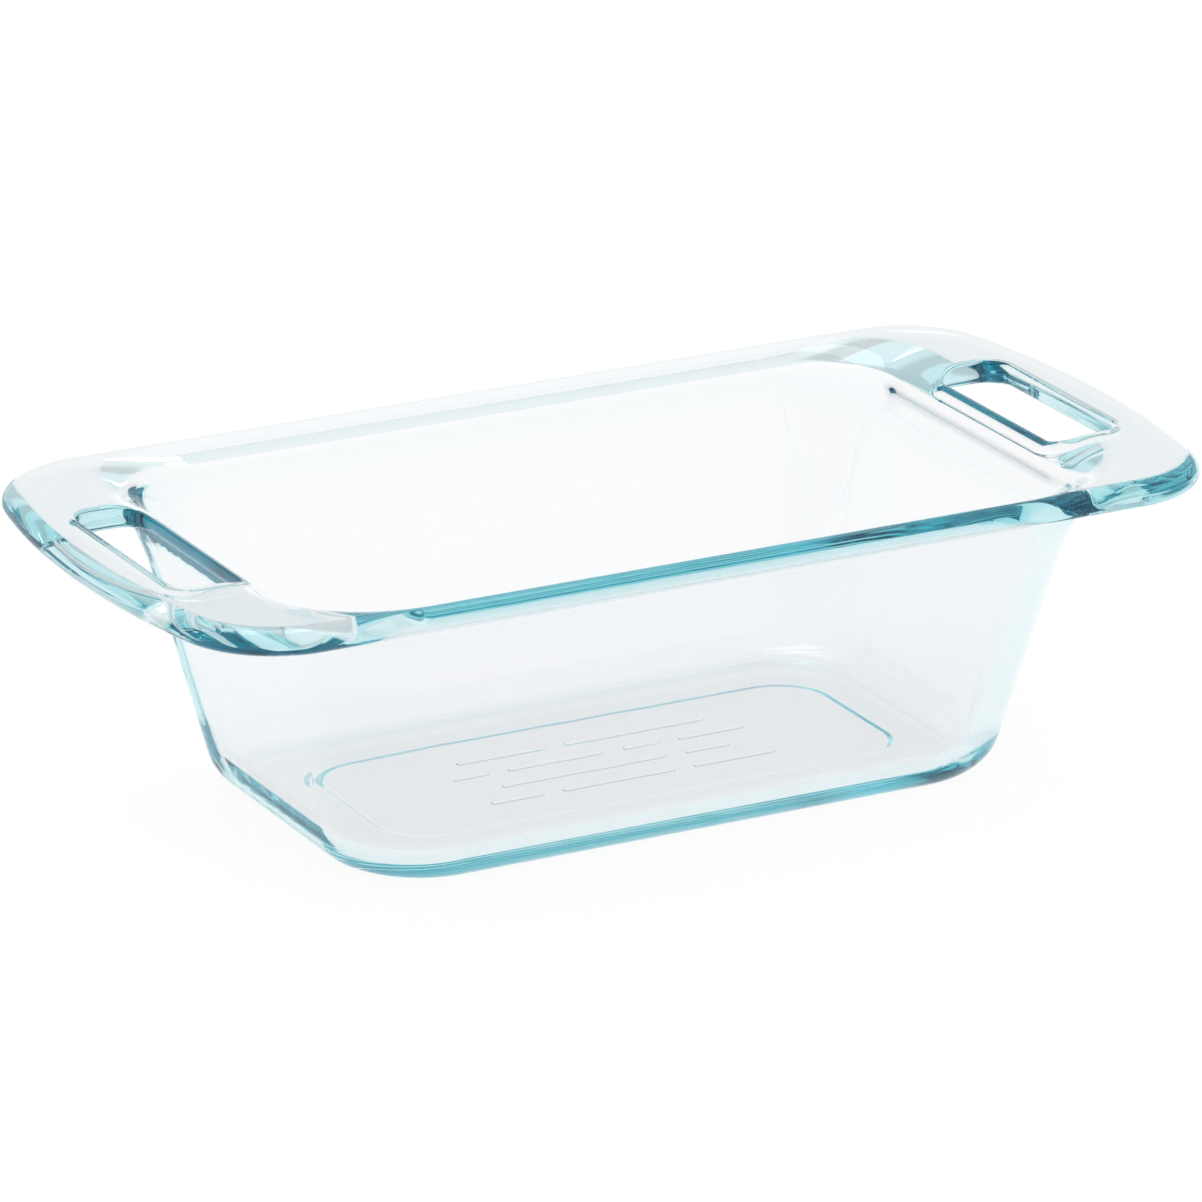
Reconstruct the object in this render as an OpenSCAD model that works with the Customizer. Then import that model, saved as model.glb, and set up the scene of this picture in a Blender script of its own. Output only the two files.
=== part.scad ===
// Pressed-glass loaf pan with two slotted end handles.
// Millimetres, +Z up, +X along the pan. The origin is the centre of the footprint on the table.
// The real object is one piece of glass, so the part is one solid in one node.

/* [Overall] */
// Length over both handles
pan_l = 275; // [265:1:300]
// Width over the rim
pan_w = 140; // [132:1:152]
// Height of the rim above the table
pan_h = 76; // [66:1:88]

/* [Basin] */
// Outside length of the basin where the walls meet the table plane
base_l = 174; // [160:1:180]
// Outside width of the basin where the walls meet the table plane
base_w = 102; // [94:1:106]
// Outward lean of the two end walls, in degrees
end_draft = 12.4; // [8:0.1:13]
// Outward lean of the two long walls, in degrees
side_draft = 9.4; // [6:0.1:10]
// Plan radius of the upright corners at the table
corner_r_low = 25; // [18:1:30]
// Plan radius of the upright corners under the rim
corner_r_high = 22; // [16:1:30]
// How much smaller the inside radius of the upright corners is than the outside radius
corner_step = 1.7; // [0.5:0.1:4]
// Extra outward sweep of the wall just under the rim
flare = 2; // [0:0.1:3]
// Height of that sweep, measured down from the rim
flare_h = 24; // [14:1:30]
// Thickness of the walls
wall_t = 4.2; // [3:0.1:5]
// Thickness of the floor over the foot
floor_t = 5; // [4:0.1:7]
// Outside radius between the walls and the base
foot_r = 8; // [6:0.5:12]
// Inside radius between the walls and the floor
floor_r = 6.5; // [6:0.5:12]

/* [Rim and handles] */
// Thickness of the rim and of the handle plates
rim_t = 6.5; // [5:0.1:8]
// Plan radius of the four rim corners
rim_corner_r = 26; // [20:1:32]
// Plan radius of the bowed outer edge of each handle
rim_bow_r = 250; // [180:5:400]
// Radius of the lip between the basin and each handle
lip_r_end = 20; // [12:0.5:22]
// Radius of the lip between the basin and each long side of the rim
lip_r_side = 11.3; // [8:0.1:12]
// Width of the rounded upper edge of the rim
nose_top_w = 5; // [3:0.1:6]
// Height of that rounded edge, from its top to the outermost line of the rim
nose_top_h = 4; // [2:0.1:4.5]
// Width of the rounded lower edge of the rim
nose_low_w = 4.5; // [2:0.1:5]
// Radius of the hollow under the rim, where it meets the wall
neck_r = 3; // [1:0.1:3.5]

/* [Finger slots] */
// Distance from the middle of the pan to the inner wall of a slot
slot_in = 106.9; // [106.5:0.1:109]
// Width of a slot along the pan
slot_w = 18; // [13:0.5:19]
// Length of a slot across the pan
slot_l = 60; // [40:1:66]
// Plan radius of the slot corners
slot_corner_r = 6; // [3:0.5:7]
// Radius on the upper edge of a slot
slot_edge_r = 1.2; // [0.6:0.1:1.6]
// Radius on the lower edge of a slot
slot_low_r = 2.5; // [1:0.1:2.8]

/* [Foot] */
// Length of the panel inside the flat ring that the pan stands on
panel_l = 137; // [120:1:140]
// Width of that panel
panel_w = 56; // [40:1:66]
// Plan radius of the corners of the panel
panel_r = 14; // [6:1:19]
// Depth of the panel
panel_d = 0.8; // [0.4:0.1:1.5]

/* [Build] */
// The node to draw

/* [Hidden] */
half_l = pan_l / 2;
half_w = pan_w / 2;
neck_z = pan_h - rim_t;
edge_z = pan_h - nose_top_h;
end_slope = tan(end_draft);
side_slope = tan(side_draft);
corner_slope = (corner_r_high - corner_r_low) / neck_z;
glass = [0.72, 0.86, 0.87, 0.55];
// Segments in each quarter of a ring: half of an end, one corner, half of a long side
end_seg = 4;
corner_seg = 11;
side_seg = 2;
quarter = end_seg + corner_seg + side_seg;
ring_n = 4 * quarter;
// Segments in each rounded stretch of the wall section, and in the upper and lower faces of the rim
round_seg = 6;
flare_seg = 4;
top_seg = 14;
under_seg = 10;
// Points on each rounded corner of a slot, and segments in each rolled edge
slot_corner_seg = 9;
slot_seg = 4;
// Steps of halving that find how far a face reaches: enough for a thousandth of a millimetre
halvings = 20;
eps = 0.5;

// Outward sweep of the outer face at height z, on top of its lean
function sweep(z) = flare * pow(max(z - pan_h + flare_h, 0) / (flare_h - rim_t), 2);

// Point i of the first quarter of a ring is on half of an end, then on one corner, then on half of a side.
// The share of the straight half end, the share of the straight half side, and the way that point faces:
function end_share(i) = min(i / end_seg, 1);
function side_share(i) = min((quarter - i) / side_seg, 1);
function turn(i) = 90 * max(min((i - end_seg) / corner_seg, 1), 0);
function facing(i) = [cos(turn(i)), sin(turn(i))];

// Place in plan of point i on the basin's outer face at height z, moved "in" towards the inside.
// "fuller" is added to the plan radius of its corners.
function wall_plan(i, in, z, swept = 0, fuller = 0) =
    let (out = swept * sweep(z) - in)
    let (r = max(corner_r_low + corner_slope * z - in + fuller, 1))
    let (a = base_l / 2 + end_slope * z + out - r)
    let (b = base_w / 2 + side_slope * z + out - r)
    [a * side_share(i), b * end_share(i)] + r * facing(i);

// The same on the basin's inner face
function inner_plan(i, in, z) = wall_plan(i, wall_t + in, z, 0, wall_t - corner_step);

// Drop of an elliptic edge below its top, a distance d in from the line where it stands upright
function bulge(d, width, height) =
    let (u = 1 - max(min(d / width, 1), 0))
    height * (1 - sqrt(max(1 - u * u, 0)));

// The rim outline: a bowed end tangent to the corner arc, and the corner arc tangent to the straight side
bow_x = half_l - rim_bow_r;
arc_y = half_w - rim_corner_r;
arc_x = bow_x + sqrt(pow(rim_bow_r - rim_corner_r, 2) - pow(arc_y, 2));
arc_from = atan2(arc_y, arc_x - bow_x);

// Distance of a place in the first quarter in from the rim outline
function edge_distance(p) =
    let (bow = rim_bow_r - norm(p - [bow_x, 0]))
    p[0] <= arc_x ? min(half_w - p[1], bow)
    : atan2(p[1] - arc_y, p[0] - arc_x) >= arc_from ? rim_corner_r - norm(p - [arc_x, arc_y])
    : bow;

// Distance from a place to the rim outline in a direction, by halving
function reach(from, way, near = 0, far = pan_l, left = halvings) =
    let (mid = (near + far) / 2)
    left == 0 ? mid
    : edge_distance(from + mid * way) > 0 ? reach(from, way, mid, far, left - 1)
    : reach(from, way, near, mid, left - 1);

// The lip: an arc that leaves the inside of the wall on its lean and ends level with the top of the rim
function lean(i) =
    let (f = facing(i))
    atan(end_slope * f[0] + side_slope * f[1] + corner_slope * (1 - f[0] - f[1]));
function lip_r(i) = lip_r_side + (lip_r_end - lip_r_side) * pow(facing(i)[0], 2);
function lip_z(i) = pan_h - lip_r(i) * (1 - sin(lean(i)));
function lip_start(i) = inner_plan(i, 0, lip_z(i));
function lip_drop(i, d) =
    let (u = max(lip_r(i) * cos(lean(i)) - d, 0))
    lip_r(i) - sqrt(pow(lip_r(i), 2) - u * u);
lip_reach = [for (i = [0:quarter]) reach(lip_start(i), facing(i))];
function edge_plan(i) = lip_start(i) + lip_reach[i] * facing(i);

// Points of the upper and lower faces of the rim, with s running from 0 at the wall to 1 at the rim's edge
function top_point(i, s) =
    let (d = s * lip_reach[i])
    let (p = lip_start(i) + d * facing(i))
    let (nose = s < 1 ? bulge(edge_distance(p), nose_top_w, nose_top_h) : nose_top_h)
    [p[0], p[1], pan_h - norm([lip_drop(i, d), nose])];
neck_start_z = neck_z - neck_r;
function under_point(i, s) =
    let (start = wall_plan(i, 0, neck_start_z, 1))
    let (p = start + s * (edge_plan(i) - start))
    let (nose = s < 1 ? bulge(edge_distance(p), nose_low_w, edge_z - neck_z) : edge_z - neck_z)
    [p[0], p[1], neck_z - bulge(norm(p - start), neck_r, neck_r) + nose];
function outer_point(i, in, z) =
    let (p = wall_plan(i, in, z, 1))
    [p[0], p[1], z];
function inner_point(i, in, z) =
    let (p = inner_plan(i, in, z))
    [p[0], p[1], z];

// Edge of the panel, at the foot ring for step 0 and at the bottom of the panel for step 1
function panel_point(i, step) =
    let (core = [(panel_l / 2 - panel_r) * side_share(i), (panel_w / 2 - panel_r) * end_share(i)])
    let (p = core + (panel_r - step * 2 * panel_d) * facing(i))
    [p[0], p[1], step * panel_d];

// Steps from 0 to 1, closest together at both ends
function eased(k, count) = (1 - cos(180 * k / count)) / 2;

// The closed section, from the floor up the inside, over the rim, and down the outside.
// Each entry is the first quarter of a ring.
quarters = concat(
    [for (k = [0:round_seg])
        let (t = 90 * k / round_seg)
        let (z = floor_t + floor_r * (1 - cos(t)))
        [for (i = [0:quarter]) inner_point(i, floor_r * (1 - sin(t)), z)]],
    [for (k = [0:top_seg]) [for (i = [0:quarter]) top_point(i, eased(k, top_seg))]],
    [for (k = [under_seg - 1:-1:0]) [for (i = [0:quarter]) under_point(i, eased(k, under_seg))]],
    [for (k = [1:flare_seg])
        let (z = neck_start_z + (pan_h - flare_h - neck_start_z) * k / flare_seg)
        [for (i = [0:quarter]) outer_point(i, 0, z)]],
    [for (k = [round_seg:-1:0])
        let (t = 90 * k / round_seg)
        let (z = foot_r * (1 - cos(t)))
        [for (i = [0:quarter]) outer_point(i, foot_r * (1 - sin(t)), z)]],
    [for (step = [0, 1]) [for (i = [0:quarter]) panel_point(i, step)]]
);

// Point j of the whole ring: quarters two to four mirror the first
function ring_point(first, j) =
    let (q = floor(j / quarter))
    let (i = j - q * quarter)
    let (p = first[q % 2 == 0 ? i : quarter - i])
    [(q == 1 || q == 2 ? -1 : 1) * p[0], (q >= 2 ? -1 : 1) * p[1], p[2]];
ring_count = len(quarters);

// One skin through all the rings, closed by a fan in the middle of the floor and another under it
module shell() {
    points = concat(
        [for (first = quarters) for (j = [0:ring_n - 1]) ring_point(first, j)],
        [[0, 0, floor_t], [0, 0, panel_d]]
    );
    floor_mid = ring_count * ring_n;
    base_mid = floor_mid + 1;
    last = (ring_count - 1) * ring_n;
    walls = [
        for (k = [0:ring_count - 2])
            for (j = [0:ring_n - 1])
                let (a = k * ring_n + j)
                let (b = k * ring_n + (j + 1) % ring_n)
                each [[a, b, a + ring_n], [b, b + ring_n, a + ring_n]]
    ];
    floor_fan = [for (j = [0:ring_n - 1]) [floor_mid, (j + 1) % ring_n, j]];
    base_fan = [for (j = [0:ring_n - 1]) [base_mid, last + j, last + (j + 1) % ring_n]];
    polyhedron(points, concat(walls, floor_fan, base_fan), convexity = 8);
}

// Heights of the two faces of a handle at distance x from the middle of the pan, near the middle of an end
function handle_top(x) = pan_h - lip_drop(0, x - lip_start(0)[0]);
function handle_under(x) = neck_z - bulge(x - wall_plan(0, 0, neck_start_z, 1)[0], neck_r, neck_r);

// Point j of a ring round a slot, "out" outside its walls, measured from the middle of the pan
slot_n = 4 * slot_corner_seg;
function slot_point(j, out) =
    let (q = floor(j / slot_corner_seg))
    let (sx = q == 0 || q == 3 ? 1 : -1)
    let (sy = q < 2 ? 1 : -1)
    let (t = 90 * (q + (j - q * slot_corner_seg) / (slot_corner_seg - 1)))
    let (r = slot_corner_r + out)
    [slot_in + slot_w / 2 + sx * (slot_w / 2 - slot_corner_r) + r * cos(t),
        sy * (slot_l / 2 - slot_corner_r) + r * sin(t)];

// Where a slot wall rolls over into a face of the handle: u runs from 0 on the face to 1 on the wall
function rolled(j, u, top) =
    let (r = top ? slot_edge_r : slot_low_r)
    let (brim = slot_point(j, r))
    let (inner = slot_point(j, 0))
    let (p = brim * pow(1 - u, 2) + inner * (1 - pow(1 - u, 2)))
    let (on_face = top ? handle_top(brim[0]) : handle_under(brim[0]))
    let (knee = top ? handle_top(inner[0]) : handle_under(inner[0]))
    let (on_wall = knee + (top ? -r : r))
    [p[0], p[1], on_face * pow(1 - u, 2) + knee * 2 * u * (1 - u) + on_wall * u * u];

// The glass taken out for one slot: straight walls, rolled edges, and a flared end beyond each face
module slot_cutter() {
    above = [for (j = [0:slot_n - 1]) concat(slot_point(j, slot_edge_r + eps), pan_h + eps)];
    below = [for (j = [0:slot_n - 1]) concat(slot_point(j, slot_low_r), neck_z - neck_r - eps)];
    rings = concat(
        [above],
        [for (k = [0:slot_seg]) [for (j = [0:slot_n - 1]) rolled(j, k / slot_seg, true)]],
        [for (k = [slot_seg:-1:0]) [for (j = [0:slot_n - 1]) rolled(j, k / slot_seg, false)]],
        [below]
    );
    last = (len(rings) - 1) * slot_n;
    walls = [
        for (k = [0:len(rings) - 2])
            for (j = [0:slot_n - 1])
                let (a = k * slot_n + j)
                let (b = k * slot_n + (j + 1) % slot_n)
                each [[a, b, a + slot_n], [b, b + slot_n, a + slot_n]]
    ];
    lid = [for (j = [slot_n - 1:-1:0]) j];
    base = [for (j = [0:slot_n - 1]) last + j];
    polyhedron([for (ring = rings) each ring], concat(walls, [lid, base]), convexity = 4);
}

module glass_dish() {
    color(glass)
        difference() {
            shell();
            slot_cutter();
            rotate(180)
                slot_cutter();
        }
}

glass_dish();
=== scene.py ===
import math

import bmesh
import bpy
import numpy as np
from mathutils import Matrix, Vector
from mathutils.geometry import delaunay_2d_cdt


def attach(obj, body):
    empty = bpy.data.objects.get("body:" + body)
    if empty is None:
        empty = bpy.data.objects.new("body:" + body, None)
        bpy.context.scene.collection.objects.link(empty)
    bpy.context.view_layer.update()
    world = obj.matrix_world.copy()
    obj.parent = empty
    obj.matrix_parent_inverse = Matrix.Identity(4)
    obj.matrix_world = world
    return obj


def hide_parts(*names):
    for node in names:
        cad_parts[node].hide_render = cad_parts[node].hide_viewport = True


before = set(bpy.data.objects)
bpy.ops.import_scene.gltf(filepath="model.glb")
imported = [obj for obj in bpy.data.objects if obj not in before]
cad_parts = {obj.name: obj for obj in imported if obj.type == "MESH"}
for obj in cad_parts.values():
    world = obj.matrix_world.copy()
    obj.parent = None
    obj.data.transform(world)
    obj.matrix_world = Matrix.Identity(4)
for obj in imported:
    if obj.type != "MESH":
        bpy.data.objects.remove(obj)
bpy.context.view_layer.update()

MM = 0.001

# ---------------------------------------- dimensions of the pan in mm, as in part.scad
PAN_L = 275.0
PAN_W = 140.0
PAN_H = 76.0
BASE_L = 174.0
BASE_W = 102.0
END_DRAFT = 12.4
SIDE_DRAFT = 9.4
CORNER_R_LOW = 25.0
CORNER_R_HIGH = 22.0
FLARE = 2.0
FLARE_H = 24.0
WALL_T = 4.2
# by how much the basin's inner corner radius is less than its outer one
CORNER_STEP = 1.7
FLOOR_T = 5.0
FOOT_R = 8.0
FLOOR_R = 6.5
RIM_T = 6.5
RIM_CORNER_R = 26.0
RIM_BOW_R = 250.0
LIP_R_END = 20.0
LIP_R_SIDE = 11.3
NOSE_TOP_W = 5.0
NOSE_TOP_H = 4.0
NOSE_LOW_W = 4.5
NECK_R = 3.0
SLOT_IN = 106.9
SLOT_W = 18.0
SLOT_L = 60.0
SLOT_CORNER_R = 6.0
SLOT_EDGE_R = 1.2
SLOT_LOW_R = 2.5
PANEL_L = 137.0
PANEL_W = 56.0
PANEL_R = 14.0
PANEL_D = 0.8
PANEL_STEP_W = 1.6
# underside of the rim, foot of the hollow below it, and outermost line of the rim
NECK_Z = PAN_H - RIM_T
NECK_LOW_Z = NECK_Z - NECK_R
EDGE_Z = PAN_H - NOSE_TOP_H

# ---------------------------------------- mesh density, far finer than the solid model's
END_SEG = 24
CORNER_SEG = 64
SIDE_SEG = 12
QUARTER = END_SEG + CORNER_SEG + SIDE_SEG
ROUND_SEG = 16
WALL_SEG = 14
TOP_SEG = 44
UNDER_SEG = 30
ROLL_SEG = 10
PANEL_SEG = 8
SLOT_SIDE_SEG = 16
SLOT_CORNER_SEG = 14
SLOT_END_SEG = 4
BAR_POINTS = 24
BAR_SEG = 5

# ---------------------------------------- limits and tolerances, in mm where they are lengths
HALVINGS = 50
SLOPE_STEP = 0.01
HOLE_MARGIN = 0.12
MEETING_GAP = 1e-7
SMALLEST_RADIUS = 1.0

# ---------------------------------------- the quarter ring, from the end's middle to the side's
FLAT_END = np.r_[np.arange(END_SEG) / END_SEG, np.ones(CORNER_SEG + 1 + SIDE_SEG)]
FLAT_SIDE = np.r_[np.ones(END_SEG + CORNER_SEG + 1), 1 - np.arange(1, SIDE_SEG + 1) / SIDE_SEG]
TURN = np.r_[
    np.zeros(END_SEG),
    np.linspace(0, math.pi / 2, CORNER_SEG + 1),
    np.full(SIDE_SEG, math.pi / 2),
]
FACING = np.column_stack([np.cos(TURN), np.sin(TURN)])
TAN_END = math.tan(math.radians(END_DRAFT))
TAN_SIDE = math.tan(math.radians(SIDE_DRAFT))
CORNER_SLOPE = (CORNER_R_HIGH - CORNER_R_LOW) / NECK_Z


def mirrored(quarter):
    """A whole ring of points from its first quarter."""
    q = np.array(quarter)
    half = np.vstack([q, q[-2::-1] * [-1, 1, 1]])
    return np.vstack([half, half[-2:0:-1] * [1, -1, 1]])


def ring(plan, z):
    """The whole ring whose first quarter has these plan positions and this height, or these heights."""
    return mirrored(np.column_stack([plan, np.broadcast_to(z, len(plan))]))


def sweep(z):
    """Outward sweep of the outer face just under the rim, on top of its lean."""
    s = np.maximum(0.0, (z - PAN_H + FLARE_H) / (FLARE_H - RIM_T))
    return FLARE * s * s


def wall(inward, z, swept=0.0, fuller=0.0):
    """Plan positions `inward` inside the basin's outer face at height z, with corners of a fuller radius."""
    a = BASE_L / 2 + TAN_END * z + swept * sweep(z) - inward
    b = BASE_W / 2 + TAN_SIDE * z + swept * sweep(z) - inward
    r = np.maximum(CORNER_R_LOW + CORNER_SLOPE * z - inward + fuller, SMALLEST_RADIUS)
    x = (a - r) * FLAT_SIDE + r * FACING[:, 0]
    y = (b - r) * FLAT_END + r * FACING[:, 1]
    return np.column_stack([x, y])


def inner_wall(inward, z):
    """Plan positions `inward` inside the basin's inner face, with fuller corners than an even wall's."""
    return wall(WALL_T + inward, z, fuller=WALL_T - CORNER_STEP)


def quarter_bulge(d, width, height):
    """How far an elliptic edge has dropped, at distance d in from where it is vertical."""
    u = 1 - np.clip(d / width, 0, 1)
    return height * (1 - np.sqrt(np.maximum(1 - u * u, 0)))


# ---------------------------------------- the rim's outline: bowed ends, corner arcs, straight sides
BOW_X = PAN_L / 2 - RIM_BOW_R
ARC_Y = PAN_W / 2 - RIM_CORNER_R
ARC_X = BOW_X + math.sqrt((RIM_BOW_R - RIM_CORNER_R) ** 2 - ARC_Y**2)
ARC_FROM = math.atan2(ARC_Y, ARC_X - BOW_X)


def edge_distance(plan):
    """Distance in from the rim's outline, for plan positions in the first quarter."""
    x, y = plan[:, 0], plan[:, 1]
    turn = np.arctan2(y - ARC_Y, x - ARC_X)
    side = PAN_W / 2 - y
    corner = RIM_CORNER_R - np.hypot(x - ARC_X, y - ARC_Y)
    bow = RIM_BOW_R - np.hypot(x - BOW_X, y)
    return np.where(x <= ARC_X, np.minimum(side, bow), np.where(turn >= ARC_FROM, corner, bow))


def reach(start, direction):
    """How far each start point lies from the rim's outline along its direction, by halving."""
    near, far = np.zeros(len(start)), np.full(len(start), PAN_L)
    for _ in range(HALVINGS):
        mid = (near + far) / 2
        inside = edge_distance(start + mid[:, None] * direction) > 0
        near, far = np.where(inside, mid, near), np.where(inside, far, mid)
    return near


# ---------------------------------------- the lip: an arc that leaves the wall on its lean
LEAN = np.arctan(
    TAN_END * FACING[:, 0] + TAN_SIDE * FACING[:, 1] + CORNER_SLOPE * (1 - FACING.sum(1))
)
LIP_R = LIP_R_SIDE + (LIP_R_END - LIP_R_SIDE) * FACING[:, 0] ** 2
LIP_Z = PAN_H - LIP_R * (1 - np.sin(LEAN))
LIP_START = inner_wall(0, LIP_Z)
LIP_REACH = reach(LIP_START, FACING)
EDGE = LIP_START + LIP_REACH[:, None] * FACING


def lip_drop(d, radius=LIP_R, lean=LEAN):
    """How far the lip lies below the top of the pan, at distance d outside the basin's inner face."""
    u = np.maximum(radius * np.cos(lean) - d, 0)
    return radius - np.sqrt(radius**2 - u * u)


def eased(steps):
    """Steps from 0 to 1, closest together at both ends."""
    return (1 - np.cos(np.linspace(0, math.pi, steps + 1))) / 2


def arc(steps):
    """Evenly spaced angles over a quarter turn."""
    return np.linspace(0, math.pi / 2, steps + 1)


def inside_rings():
    """From the edge of the floor, round the inside radius and up the wall to the lip."""
    rings = []
    for t in arc(ROUND_SEG):
        z = FLOOR_T + FLOOR_R * (1 - math.cos(t))
        rings.append(ring(inner_wall(FLOOR_R * (1 - math.sin(t)), z), z))
    low = FLOOR_T + FLOOR_R
    for s in np.linspace(0, 1, WALL_SEG + 1)[1:]:
        z = low + (LIP_Z - low) * s
        rings.append(ring(inner_wall(0, z), z))
    return rings


def top_rings():
    """From the lip across the top of the rim to its outermost line."""
    rings = []
    for s in eased(TOP_SEG)[1:]:
        d = s * LIP_REACH
        plan = LIP_START + d[:, None] * FACING
        drop = np.hypot(lip_drop(d), quarter_bulge(edge_distance(plan), NOSE_TOP_W, NOSE_TOP_H))
        rings.append(ring(plan, PAN_H - drop if s < 1 else EDGE_Z))
    return rings


def under_rings():
    """Back under the rim, from its edge to where the neck meets the wall."""
    start = wall(0, NECK_LOW_Z, 1.0)
    rings = []
    for s in eased(UNDER_SEG)[1:]:
        plan = EDGE + (start - EDGE) * s
        d = np.hypot(*(plan - start).T)
        rise = quarter_bulge(edge_distance(plan), NOSE_LOW_W, RIM_T - NOSE_TOP_H)
        rings.append(ring(plan, NECK_Z - quarter_bulge(d, NECK_R, NECK_R) + rise))
    return rings


def outside_rings():
    """Down the outer face and round the foot radius to the foot ring."""
    rings = []
    for z in np.linspace(NECK_LOW_Z, FOOT_R, 2 * WALL_SEG)[1:]:
        rings.append(ring(wall(0, z, 1.0), z))
    for t in arc(ROUND_SEG)[::-1][1:]:
        z = FOOT_R * (1 - math.cos(t))
        rings.append(ring(wall(FOOT_R * (1 - math.sin(t)), z), z))
    return rings


def panel_rings():
    """From the inner edge of the foot ring up its little step to the panel."""
    core = [PANEL_L / 2 - PANEL_R, PANEL_W / 2 - PANEL_R] * np.column_stack([FLAT_SIDE, FLAT_END])
    rings = []
    for t in np.linspace(0, math.pi, PANEL_SEG + 1):
        r = PANEL_R - PANEL_STEP_W * t / math.pi
        rings.append(ring(core + r * FACING, PANEL_D * (1 - math.cos(t)) / 2))
    return rings


# ---------------------------------------- plain round-ended bars on the panel, as rows of lengths
MARK_R = 0.8
MARK_H = 0.4
MARK_PITCH = 9.0
MARK_ROWS = [(14.0, 30.0, 22.0), (44.0, 12.0), (10.0, 26.0, 10.0, 18.0), (24.0, 38.0)]
MARK_GAP = 5.0
MARK_ROUND = 0.6


def bar_outlines():
    """Outlines in plan of rows of round-ended bars, each row centred under the floor."""
    turn = (np.arange(BAR_POINTS) * 2 + 1) * math.pi / BAR_POINTS
    found = []
    for k, lengths in enumerate(MARK_ROWS):
        y = (k - (len(MARK_ROWS) - 1) / 2) * MARK_PITCH
        x = -(sum(lengths) + MARK_GAP * (len(lengths) - 1)) / 2
        for length in lengths:
            ends = np.where(np.cos(turn) > 0, x + length - MARK_R, x + MARK_R)
            found.append(np.column_stack([ends + MARK_R * np.cos(turn), y + MARK_R * np.sin(turn)]))
            x += length + MARK_GAP
    return found


def bar_rings(outline):
    """Rings from the panel down to the rounded-over face of one bar."""
    low, high = outline.min(0), outline.max(0)
    core = np.column_stack([
        np.clip(outline[:, 0], low[0] + MARK_R, high[0] - MARK_R),
        np.full(len(outline), (low[1] + high[1]) / 2),
    ])
    rings = []
    for t in arc(BAR_SEG):
        plan = core + (outline - core) * (1 - MARK_ROUND * (1 - math.cos(t)))
        rings.append(np.column_stack([plan, np.full(len(plan), PANEL_D - MARK_H * math.sin(t))]))
    return rings


# ---------------------------------------- finger slots, where the rim's faces depend on x alone
def end_top(x):
    """Height and slope of the upper face at distance x from the middle of the pan, near an end's middle."""
    d = np.abs(x) - LIP_START[0, 0]
    z = PAN_H - lip_drop(d, LIP_R_END, LEAN[0])
    slope = (PAN_H - lip_drop(d + SLOPE_STEP, LIP_R_END, LEAN[0]) - z) / SLOPE_STEP
    return z, slope * np.sign(x)


def end_under(x):
    """Height and slope of the underside at distance x from the middle of the pan, near an end's middle."""
    d = np.abs(x) - wall(0, NECK_LOW_Z, 1.0)[0, 0]
    z = NECK_Z - quarter_bulge(d, NECK_R, NECK_R)
    slope = (NECK_Z - quarter_bulge(d + SLOPE_STEP, NECK_R, NECK_R) - z) / SLOPE_STEP
    return z, slope * np.sign(x)


def slot_outline(out):
    """Plan positions round a slot at the origin, `out` outside its walls, and the way each one faces."""
    r = SLOT_CORNER_R + out
    ix, iy = SLOT_W / 2 - SLOT_CORNER_R, SLOT_L / 2 - SLOT_CORNER_R
    turn = np.r_[np.zeros(SLOT_SIDE_SEG), arc(SLOT_CORNER_SEG), np.full(SLOT_END_SEG, math.pi / 2)]
    up_the_side = np.arange(SLOT_SIDE_SEG) / SLOT_SIDE_SEG
    along_the_end = 1 - np.arange(1, SLOT_END_SEG + 1) / SLOT_END_SEG
    fy = np.r_[up_the_side, np.ones(SLOT_CORNER_SEG + 1 + SLOT_END_SEG)]
    fx = np.r_[np.ones(SLOT_SIDE_SEG + SLOT_CORNER_SEG + 1), along_the_end]
    facing = np.column_stack([np.cos(turn), np.sin(turn), 0 * turn])
    plan = np.column_stack([ix * fx, iy * fy, 0 * turn]) + r * facing
    return mirrored(plan), mirrored(facing)


def slot_rings(side):
    """Rings round a finger slot, from its upper edge to its lower one, each edge rolled over."""
    cx = side * (SLOT_IN + SLOT_W / 2)
    inner = slot_outline(0.0)[0] + [cx, 0, 0]

    def rolled(surface, radius, toward):
        brim = slot_outline(radius)[0] + [cx, 0, 0]
        start = surface(brim[:, 0])[0]
        knee = surface(inner[:, 0])[0]
        found = []
        for u in np.linspace(0, 1, ROLL_SEG + 1):
            plan = brim * (1 - u) ** 2 + inner * (1 - (1 - u) ** 2)
            height = start * (1 - u) ** 2 + knee * 2 * u * (1 - u) + (knee + toward * radius) * u * u
            found.append(np.column_stack([plan[:, :2], height]))
        return found

    return rolled(end_top, SLOT_EDGE_R, -1) + rolled(end_under, SLOT_LOW_R, 1)[::-1]


def face_normals(grid, flip):
    """Smooth normals of a stack of rings, with the uneven spacing of the rings allowed for."""
    across = np.roll(grid, -1, 1) - np.roll(grid, 1, 1)
    step = np.diff(grid, axis=0)
    size = np.maximum(np.linalg.norm(step, axis=2, keepdims=True), 1e-9)
    unit = step / size
    along = np.concatenate([unit[:1], (unit[:-1] * size[1:] + unit[1:] * size[:-1]), unit[-1:]])
    n = np.cross(across, along) * (-1 if flip else 1)
    return n / np.linalg.norm(n, axis=2, keepdims=True)


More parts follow.
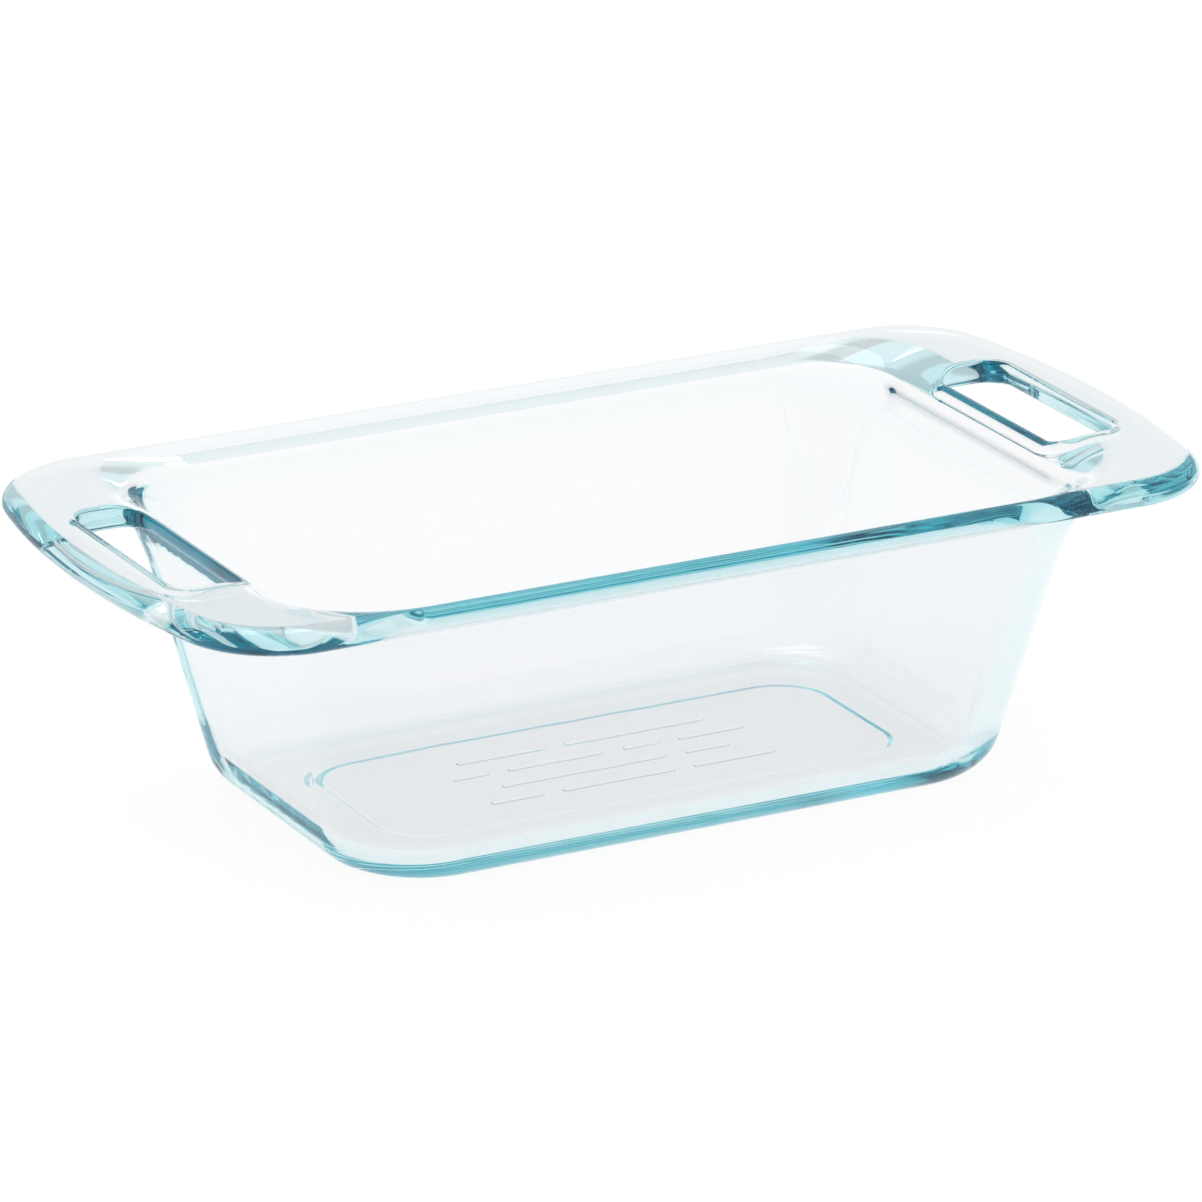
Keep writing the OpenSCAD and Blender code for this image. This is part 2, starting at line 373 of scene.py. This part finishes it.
class Skin:
    """Collects vertices, normals and faces of one closed surface, in mm."""

    def __init__(self):
        self.points, self.normals, self.faces = [], [], []

    def loops(self, rings, normals):
        """Adds rings of vertices and returns each one's vertex numbers."""
        made = []
        for points, n in zip(rings, normals):
            start = len(self.points)
            self.points += [tuple(p) for p in points]
            self.normals += [tuple(v) for v in n]
            made.append(list(range(start, start + len(points))))
        return made

    def quads(self, loops, flip=True):
        """Joins each loop to the next with four-sided faces."""
        for a, b in zip(loops, loops[1:]):
            for j in range(len(a)):
                k = (j + 1) % len(a)
                quad = (a[j], a[k], b[k], b[j])
                self.faces.append(quad[::-1] if flip else quad)

    def sheet(self, loops, mouth, holes, hole_r, up):
        """Fills between the first and last of these loops, leaving the mouth and the holes open."""
        def in_a_hole(p):
            for hole in holes:
                pts = np.array([self.points[i] for i in hole])
                low, high = pts.min(0) - HOLE_MARGIN, pts.max(0) + HOLE_MARGIN
                if low[0] < p[0] < high[0] and low[1] < p[1] < high[1]:
                    away = np.abs(p[:2] - (low[:2] + high[:2]) / 2) - (high[:2] - low[:2]) / 2
                    r = hole_r + HOLE_MARGIN
                    if np.hypot(*np.maximum(away + r, 0)) < r:
                        return True
            return False

        index, edges = [], []
        for loop in loops:
            keep = [not in_a_hole(np.array(self.points[i])) for i in loop]
            where = {}
            for i, ok in zip(loop, keep):
                if ok:
                    where[i] = len(index)
                    index.append(i)
            pairs = zip(loop, loop[1:] + loop[:1])
            edges += [(where[a], where[b]) for a, b in pairs if a in where and b in where
                      and math.dist(self.points[a], self.points[b]) < SLOT_W]
        for hole in holes:
            base = len(index)
            index += hole
            edges += [(base + i, base + (i + 1) % len(hole)) for i in range(len(hole))]
        flat = [Vector(self.points[i][:2]) for i in index]
        out = delaunay_2d_cdt(flat, edges, [], 0, MEETING_GAP, True)
        source = [index[o[0]] if o else None for o in out[3]]
        open_loops = [set(mouth)] + [set(h) for h in holes]
        for tri in out[2]:
            ids = [source[v] for v in tri]
            if None in ids or any(loop.issuperset(ids) for loop in open_loops):
                continue
            a, b, c = (np.array(self.points[i][:2]) for i in ids)
            area = (b[0] - a[0]) * (c[1] - a[1]) - (b[1] - a[1]) * (c[0] - a[0])
            self.faces.append(tuple(ids) if (area > 0) == up else tuple(ids[::-1]))

    def build(self, name, planes):
        """Makes the object. Each of planes is the loops that bound a flat face, and that face's normal."""
        mesh = bpy.data.meshes.new(name)
        bm = bmesh.new()
        verts = [bm.verts.new(Vector(p) * MM) for p in self.points]
        for f in self.faces:
            bm.faces.new([verts[i] for i in f])
        for loops, up in planes:
            edges = []
            for loop in loops:
                for a, b in zip(loop, loop[1:] + loop[:1]):
                    ends = (verts[a], verts[b])
                    edges.append(bm.edges.get(ends) or bm.edges.new(ends))
            made = bmesh.ops.triangle_fill(bm, edges=edges, use_beauty=True, normal=up)
            for f in made["geom"]:
                if isinstance(f, bmesh.types.BMFace) and f.normal.dot(Vector(up)) < 0:
                    f.normal_flip()
        for f in bm.faces:
            f.smooth = True
        loose = [v for v in bm.verts if not v.link_faces]
        keep = [i for i, v in enumerate(bm.verts) if v.link_faces]
        bmesh.ops.delete(bm, geom=loose, context="VERTS")
        bm.to_mesh(mesh)
        bm.free()
        mesh.normals_split_custom_set_from_vertices([self.normals[i] for i in keep])
        ob = bpy.data.objects.new(name, mesh)
        bpy.context.scene.collection.objects.link(ob)
        return ob


UP, DOWN = (0.0, 0.0, 1.0), (0.0, 0.0, -1.0)


def build_pan():
    """The whole pan: basin, rim, slots, foot ring, panel and bars, as one closed surface."""
    inside, top, under, outside = inside_rings(), top_rings(), under_rings(), outside_rings()
    grid = np.array(inside + top + under + outside)
    normals = face_normals(grid, True)
    normals[0], normals[-1] = UP, DOWN
    skin = Skin()
    loops = skin.loops(grid, normals)
    lip = len(inside) - 1
    edge = lip + len(top)
    neck = edge + len(under)

    slots = []
    for side in (-1, 1):
        stack = np.array(slot_rings(side))
        n = face_normals(stack, False)
        for k, surface, way in ((0, end_top, 1), (-1, end_under, -1)):
            slope = surface(stack[k][:, 0])[1]
            n[k] = np.column_stack([-slope, 0 * slope, np.ones(len(slope))]) * way
            n[k] /= np.linalg.norm(n[k], axis=1, keepdims=True)
        slots.append(skin.loops(stack, n))
        skin.quads(slots[-1], flip=False)

    skin.quads(loops[: lip + 1])
    upper, lower = [s[0] for s in slots], [s[-1] for s in slots]
    skin.sheet(loops[lip : edge + 1], loops[lip], upper, SLOT_CORNER_R + SLOT_EDGE_R, True)
    skin.sheet(loops[edge : neck + 1], loops[neck], lower, SLOT_CORNER_R + SLOT_LOW_R, False)
    skin.quads(loops[neck:])
    panel_grid = np.array(panel_rings())
    panel_normals = face_normals(panel_grid, True)
    panel_normals[0] = panel_normals[-1] = DOWN
    panel = skin.loops(panel_grid, panel_normals)
    skin.quads(panel)
    bars = []
    for outline in bar_outlines():
        rings = np.array(bar_rings(outline))
        n = face_normals(rings, True)
        n[0], n[-1] = DOWN, DOWN
        bars.append(skin.loops(rings, n))
        skin.quads(bars[-1])
    planes = [([loops[0]], UP), ([loops[-1], panel[0]], DOWN)]
    planes.append(([panel[-1]] + [bar[0] for bar in bars], DOWN))
    return skin.build("glass_pan", planes + [([bar[-1]], DOWN) for bar in bars])


# ---------------------------------------- materials
GLASS_TINT = (1.0, 0.962, 0.968, 1.0)
GLASS_IOR = 1.5
GLASS_ROUGHNESS = (0.0, 0.012)
GLASS_ROUGHNESS_NOISE = (40.0, 4.0)
GLASS_BODY = (0.0, 0.73, 0.8, 1.0)
GLASS_DENSITY = 14.0
WAVE_HEIGHT = 0.00002
WAVE_NOISE = (70.0, 1.0)
FLOOR_ALBEDO = 0.15
FLOOR_GLOW = 0.88
FLOOR_ROUGHNESS = (0.9, 1.0)
GRAIN_HEIGHT = 0.00002
GRAIN_NOISE = (900.0, 3.0)


def grey(level):
    return (level, level, level, 1.0)


def noise(nt, coord, scale, detail):
    """A noise pattern fixed to the object."""
    node = nt.nodes.new("ShaderNodeTexNoise")
    node.inputs["Scale"].default_value = scale
    node.inputs["Detail"].default_value = detail
    nt.links.new(coord.outputs["Object"], node.inputs["Vector"])
    return node.outputs["Fac"]


def between(nt, factor, low, high):
    """The factor's range from 0 to 1 stretched to run from low to high."""
    node = nt.nodes.new("ShaderNodeMapRange")
    node.inputs["To Min"].default_value = low
    node.inputs["To Max"].default_value = high
    nt.links.new(factor, node.inputs["Value"])
    return node.outputs["Result"]


def add_bump(nt, shader, height, distance):
    """Raises the surface by this pattern, `distance` metres at most."""
    bump = nt.nodes.new("ShaderNodeBump")
    bump.inputs["Strength"].default_value = 1.0
    bump.inputs["Distance"].default_value = distance
    nt.links.new(height, bump.inputs["Height"])
    nt.links.new(bump.outputs["Normal"], shader.inputs["Normal"])


def glass_material():
    """Fire-polished pressed glass with faint waves: near-neutral when thin, blue-green when thick."""
    m = bpy.data.materials.new("pressed_glass")
    m.use_nodes = True
    nt = m.node_tree
    p = nt.nodes["Principled BSDF"]
    p.inputs["Base Color"].default_value = GLASS_TINT
    p.inputs["Transmission Weight"].default_value = 1.0
    p.inputs["IOR"].default_value = GLASS_IOR
    coord = nt.nodes.new("ShaderNodeTexCoord")
    cloud = noise(nt, coord, *GLASS_ROUGHNESS_NOISE)
    nt.links.new(between(nt, cloud, *GLASS_ROUGHNESS), p.inputs["Roughness"])
    add_bump(nt, p, noise(nt, coord, *WAVE_NOISE), WAVE_HEIGHT)
    body = nt.nodes.new("ShaderNodeVolumeAbsorption")
    body.inputs["Color"].default_value = GLASS_BODY
    body.inputs["Density"].default_value = GLASS_DENSITY
    nt.links.new(body.outputs["Volume"], nt.nodes["Material Output"].inputs["Volume"])
    return m


def floor_material():
    """A pale matt sweep that glows like a light table, so that the glass casts hardly a shade."""
    m = bpy.data.materials.new("pale_sweep")
    m.use_nodes = True
    nt = m.node_tree
    p = nt.nodes["Principled BSDF"]
    coord = nt.nodes.new("ShaderNodeTexCoord")
    grain = noise(nt, coord, *GRAIN_NOISE)
    p.inputs["Base Color"].default_value = grey(FLOOR_ALBEDO)
    p.inputs["Specular IOR Level"].default_value = 0.0
    p.inputs["Emission Color"].default_value = grey(FLOOR_GLOW)
    p.inputs["Emission Strength"].default_value = 1.0
    nt.links.new(between(nt, grain, *FLOOR_ROUGHNESS), p.inputs["Roughness"])
    add_bump(nt, p, grain, GRAIN_HEIGHT)
    return m


# ---------------------------------------- the object
pan = build_pan()
pan.data.materials.append(glass_material())
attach(pan, "root")
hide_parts("glass_dish")

# ---------------------------------------- floor
FLOOR_HALF = 12.0
FLOOR_GAP = 0.0002
corners = [(-FLOOR_HALF, -FLOOR_HALF, 0), (FLOOR_HALF, -FLOOR_HALF, 0)]
corners += [(FLOOR_HALF, FLOOR_HALF, 0), (-FLOOR_HALF, FLOOR_HALF, 0)]
floor_mesh = bpy.data.meshes.new("floor")
floor_mesh.from_pydata(corners, [], [(0, 1, 2, 3)])
floor = bpy.data.objects.new("floor", floor_mesh)
floor.location.z = -FLOOR_GAP
bpy.context.scene.collection.objects.link(floor)
floor.data.materials.append(floor_material())

# ---------------------------------------- sky and light
# brightness of the sky against the height of the direction looked in, from level (0) to overhead (1)
SKY = [(0.0, 1.0), (0.06, 1.0), (0.18, 0.72), (0.55, 0.72), (0.7, 1.0), (1.0, 1.0)]
SOFTBOX_AT = (0.0, 0.6, 1.8)
SOFTBOX_SIZE = (1.2, 0.8)
SOFTBOX_POWER = 6


def studio_world():
    """Pale at the horizon, so that floor and backdrop run together, darker above it and pale overhead."""
    world = bpy.data.worlds.new("studio")
    bpy.context.scene.world = world
    world.use_nodes = True
    nt = world.node_tree
    coord = nt.nodes.new("ShaderNodeTexCoord")
    split = nt.nodes.new("ShaderNodeSeparateXYZ")
    ramp = nt.nodes.new("ShaderNodeValToRGB")
    nt.links.new(coord.outputs["Generated"], split.inputs[0])
    nt.links.new(split.outputs["Z"], ramp.inputs["Fac"])
    nt.links.new(ramp.outputs["Color"], nt.nodes["Background"].inputs["Color"])
    stops = ramp.color_ramp.elements
    for stop, (height, level) in zip((stops[0], stops[1]), (SKY[0], SKY[-1])):
        stop.position = height
        stop.color = grey(level)
    for height, level in SKY[1:-1]:
        stops.new(height).color = grey(level)


def softbox(name, at, size, power):
    """A rectangular light that faces the middle of the pan's base."""
    data = bpy.data.lights.new(name, "AREA")
    data.shape = "RECTANGLE"
    data.size, data.size_y = size
    data.energy = power
    light = bpy.data.objects.new(name, data)
    light.location = at
    light.rotation_mode = "QUATERNION"
    light.rotation_quaternion = (-Vector(at)).to_track_quat("-Z", "Y")
    bpy.context.scene.collection.objects.link(light)


studio_world()
softbox("top_softbox", SOFTBOX_AT, SOFTBOX_SIZE, SOFTBOX_POWER)

# ---------------------------------------- camera, looking from the front left and a little above
CAM_SENSOR = 36.0
CAM_LENS = 254.06656
CAM_AZIMUTH = math.radians(-27.854)
CAM_ELEVATION = math.radians(19.835)
CAM_DISTANCE = 2.0133
CAM_CENTRE = Vector((0, 0, 0.035))
CAM_AIM_RIGHT = -0.000716
CAM_AIM_UP = 0.007378
CAM_FAR = 100

cam_data = bpy.data.cameras.new("camera")
cam_data.sensor_width = CAM_SENSOR
cam_data.lens = CAM_LENS
cam_data.clip_end = CAM_FAR
back = Vector((
    math.sin(CAM_AZIMUTH) * math.cos(CAM_ELEVATION),
    -math.cos(CAM_AZIMUTH) * math.cos(CAM_ELEVATION),
    math.sin(CAM_ELEVATION),
))
right = Vector((math.cos(CAM_AZIMUTH), math.sin(CAM_AZIMUTH), 0))
up = back.cross(right)
cam = bpy.data.objects.new("camera", cam_data)
cam.location = CAM_CENTRE + back * CAM_DISTANCE
aim = CAM_CENTRE + right * CAM_AIM_RIGHT + up * CAM_AIM_UP
cam.rotation_mode = "QUATERNION"
cam.rotation_quaternion = (aim - cam.location).to_track_quat("-Z", "Y")
bpy.context.scene.collection.objects.link(cam)
bpy.context.scene.camera = cam

# ---------------------------------------- light has to pass many glass faces, or the thick parts go dark
GLASS_BOUNCES = 160
SEE_THROUGH_BOUNCES = 16
scene = bpy.context.scene
scene.view_settings.view_transform = "Standard"
scene.cycles.max_bounces = GLASS_BOUNCES
scene.cycles.transmission_bounces = GLASS_BOUNCES
scene.cycles.glossy_bounces = GLASS_BOUNCES
scene.cycles.transparent_max_bounces = SEE_THROUGH_BOUNCES
